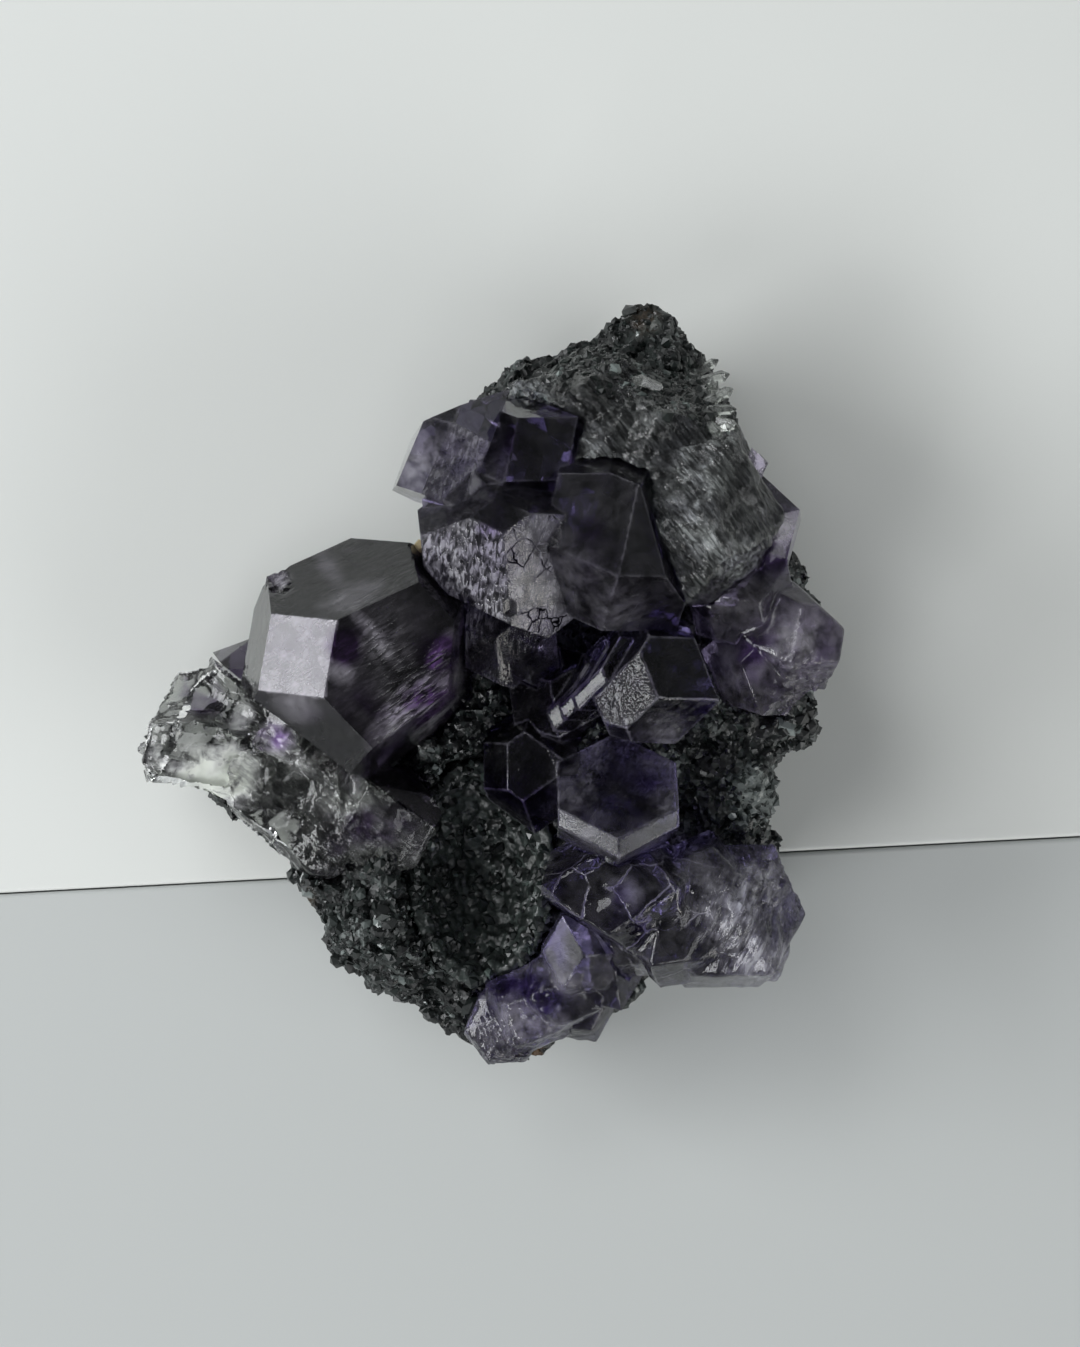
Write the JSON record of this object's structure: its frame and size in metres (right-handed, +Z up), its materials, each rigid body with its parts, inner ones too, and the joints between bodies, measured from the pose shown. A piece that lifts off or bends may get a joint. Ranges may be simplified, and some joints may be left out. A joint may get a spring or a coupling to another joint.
{
  "type": "fluorite crystal cluster on matrix",
  "caption": "Dark purple see-through fluorite dodecahedra grown together on granular rock with a druse-lined hollow, lying on a flat underside.",
  "frame": {"origin": "on the flat underside that the specimen rests on, under the middle of the pictured view", "axes": "+Z up from the resting face towards the crystal side, +Y towards the pointed end of the rock, +X towards the side away from the large crystal"},
  "size_m": [0.0882, 0.0954, 0.0435],
  "materials": {
    "granular_rock": "rough granular greisen-like rock, dark green-grey",
    "dark_druse": "tiny dark crystals, glittering",
    "purple_fluorite": "see-through grey-purple crystal with milky veils, finely etched faces",
    "smoky_fluorite": "see-through dark grey-purple crystal, etched and smooth faces",
    "greygreen_fluorite": "cloudy grey-green crystal, fibrous etched surface",
    "violet_fluorite": "see-through violet crystal",
    "pale_fluorite": "pale to purple see-through crystal with cobweb cracks and ribs"
  },
  "bodies": {
    "root": {"matrix": "granular_rock", "druse_crust": "dark_druse", "fluorite_left": "purple_fluorite", "fluorite_upper": "smoky_fluorite", "fluorite_centre": "smoky_fluorite", "fluorite_etched": "greygreen_fluorite", "fluorite_right": "violet_fluorite", "fluorite_lower_right": "pale_fluorite", "fluorite_lower": "violet_fluorite"}
  },
  "joints": []
}
